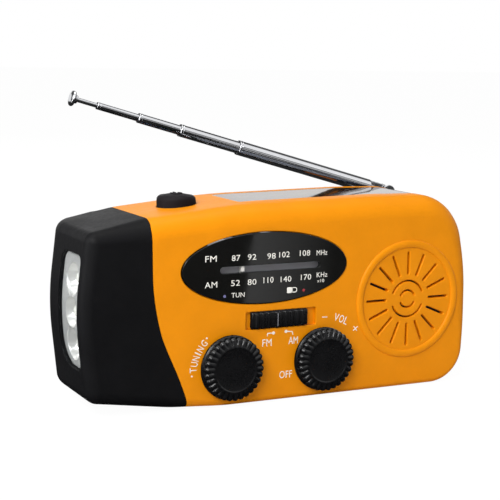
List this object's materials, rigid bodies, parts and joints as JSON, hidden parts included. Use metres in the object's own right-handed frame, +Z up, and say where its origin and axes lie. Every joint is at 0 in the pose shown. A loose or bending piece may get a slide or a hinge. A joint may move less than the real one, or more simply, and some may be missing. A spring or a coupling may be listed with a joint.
{
  "type": "emergency radio",
  "caption": "Hand-crank emergency radio with dial, two knobs, band slider, loudspeaker grille, solar panel, lamp end, folding crank and telescopic antenna.",
  "frame": {"origin": "centre of the footprint of the body on the base plane: middle of its length, middle of its depth, height 0", "axes": "+X along the length away from the lamp end, +Y from the dial face towards the crank side, +Z up"},
  "size_m": [0.126, 0.0592, 0.0878],
  "materials": {
    "shell_orange": "fine satin moulded texture",
    "housing_black": "soft-touch matte",
    "knob_black": "satin",
    "dial_gloss": "polished",
    "clear_plastic": "polished clear",
    "reflector_mirror": "vacuum metallised",
    "antenna_chrome": "polished",
    "steel": "plain",
    "brass": "turned",
    "board_green": "solder mask",
    "white_plastic": "natural acetal",
    "scale_grey": "printed",
    "led_clear": "clear resin",
    "solar_blue": "silicon under laminate",
    "ferrite": "sintered",
    "copper_wire": "enamelled winding",
    "cone_paper": "pressed pulp",
    "cell_wrap": "shrink sleeve",
    "cover_rubber": "matte"
  },
  "bodies": {
    "housing": {"front_shell": "shell_orange", "rear_shell": "shell_orange", "lamp_housing": "housing_black", "lamp_lens": "clear_plastic", "lamp_reflector": "reflector_mirror", "led_1": "led_clear", "led_2": "led_clear", "led_3": "led_clear", "led_board": "board_green", "lamp_switch": "knob_black", "solar_window": "clear_plastic", "solar_cell": "solar_blue", "dial_lens": "dial_gloss", "dial_plate": "scale_grey", "band_switch": "steel", "main_board": "board_green", "tuning_capacitor": "white_plastic", "volume_pot": "steel", "speaker_frame": "steel", "speaker_cone": "cone_paper", "speaker_magnet": "steel", "ferrite_rod": "ferrite", "antenna_coil": "copper_wire", "battery": "cell_wrap", "battery_door": "shell_orange", "battery_door_screw": "steel", "shell_screw_1": "steel", "shell_screw_2": "steel", "shell_screw_3": "steel", "shell_screw_4": "steel", "port_board": "board_green", "usb_port": "steel", "charge_port": "steel", "antenna_socket": "brass", "idler_axle": "steel", "gear_plate": "steel", "generator": "steel"},
    "tuning": {"tuning_knob": "knob_black", "tuning_pinion": "white_plastic"},
    "pointer": {"dial_pointer": "white_plastic"},
    "volume": {"volume_knob": "knob_black"},
    "band": {"band_slider": "knob_black"},
    "button": {"lamp_button": "knob_black"},
    "cover": {"port_cover": "cover_rubber"},
    "swivel": {"antenna_swivel": "antenna_chrome", "antenna_hinge_pin": "steel"},
    "mast_1": {"antenna_tube_1": "antenna_chrome"},
    "mast_2": {"antenna_tube_2": "antenna_chrome"},
    "mast_3": {"antenna_tube_3": "antenna_chrome"},
    "mast_4": {"antenna_tube_4": "antenna_chrome"},
    "mast_5": {"antenna_tube_5": "antenna_chrome", "antenna_tip": "antenna_chrome"},
    "crank": {"crank_hub": "housing_black", "crank_hinge_pin": "steel", "crank_gear": "white_plastic"},
    "arm": {"crank_arm": "housing_black", "crank_knob_pin": "steel"},
    "handle": {"crank_knob": "knob_black"},
    "idler": {"idler_gear": "white_plastic"},
    "rotor": {"generator_pinion": "brass"}
  },
  "joints": [
    {"name": "tuning_turn", "type": "hinge", "parent": "housing", "child": "tuning", "pos_m": [-0.0198, -0.0193, 0.0114], "axis": [0, 1, 0], "range_deg": [-48, 178]},
    {"name": "pointer_slide", "type": "slide", "parent": "housing", "child": "pointer", "axis": [1, 0, 0], "range_m": [-0.0059, 0.0218]},
    {"name": "volume_turn", "type": "hinge", "parent": "housing", "child": "volume", "pos_m": [0.00995, -0.0193, 0.0114], "axis": [0, 1, 0], "range_deg": [0, 280]},
    {"name": "band_slide", "type": "slide", "parent": "housing", "child": "band", "axis": [1, 0, 0], "range_m": [-0.0012, 0.002]},
    {"name": "lamp_press", "type": "slide", "parent": "housing", "child": "button", "axis": [0, 0, -1], "range_m": [0, 0.0012], "stiffness_N_per_m": 400},
    {"name": "port_cover_hinge", "type": "hinge", "parent": "housing", "child": "cover", "pos_m": [0.0619, 0.0123, 0.026], "axis": [0, 0, 1], "range_deg": [0, 110]},
    {"name": "antenna_swivel_turn", "type": "hinge", "parent": "housing", "child": "swivel", "pos_m": [0.052, 0.0155, 0.0557], "axis": [0, 0, -1], "range_deg": [0, 180]},
    {"name": "antenna_tilt", "type": "hinge", "parent": "swivel", "child": "mast_1", "pos_m": [0.052, 0.0155, 0.0557], "axis": [0, 1, 0], "range_deg": [-15.5, 74]},
    {"name": "antenna_slide_2", "type": "slide", "parent": "mast_1", "child": "mast_2", "axis": [-0.9622, 0, 0.2723], "range_m": [-0.019, 0.0198]},
    {"name": "antenna_slide_3", "type": "slide", "parent": "mast_2", "child": "mast_3", "axis": [-0.9622, 0, 0.2723], "range_m": [-0.0126, 0.0242]},
    {"name": "antenna_slide_4", "type": "slide", "parent": "mast_3", "child": "mast_4", "axis": [-0.9622, 0, 0.2723], "range_m": [-0.0121, 0.0227]},
    {"name": "antenna_slide_5", "type": "slide", "parent": "mast_4", "child": "mast_5", "axis": [-0.9622, 0, 0.2723], "range_m": [-0.0058, 0.0258]},
    {"name": "crank_turn", "type": "hinge", "parent": "housing", "child": "crank", "pos_m": [-0.002, 0.0193, 0.02875], "axis": [0, 1, 0], "range_deg": [-360, 360]},
    {"name": "arm_fold", "type": "hinge", "parent": "crank", "child": "arm", "pos_m": [-0.006, 0.0196, 0.02875], "axis": [0, 0, -1], "range_deg": [0, 180]},
    {"name": "handle_spin", "type": "hinge", "parent": "arm", "child": "handle", "pos_m": [-0.048, 0.029, 0.02875], "axis": [0, 1, 0], "continuous": true},
    {"name": "idler_turn", "type": "hinge", "parent": "housing", "child": "idler", "pos_m": [0.01111, 0.009, 0.03793], "axis": [0, 1, 0], "range_deg": [-1081, 1081]},
    {"name": "rotor_turn", "type": "hinge", "parent": "housing", "child": "rotor", "pos_m": [0.02182, 0.0066, 0.04183], "axis": [0, 1, 0], "range_deg": [-3025, 3025]}
  ],
  "couplings": [
    {"joint": "pointer_slide", "follows": "tuning_turn", "m_per_rad": 0.007},
    {"joint": "idler_turn", "follows": "crank_turn", "ratio": -3},
    {"joint": "rotor_turn", "follows": "crank_turn", "ratio": 8.4}
  ]
}
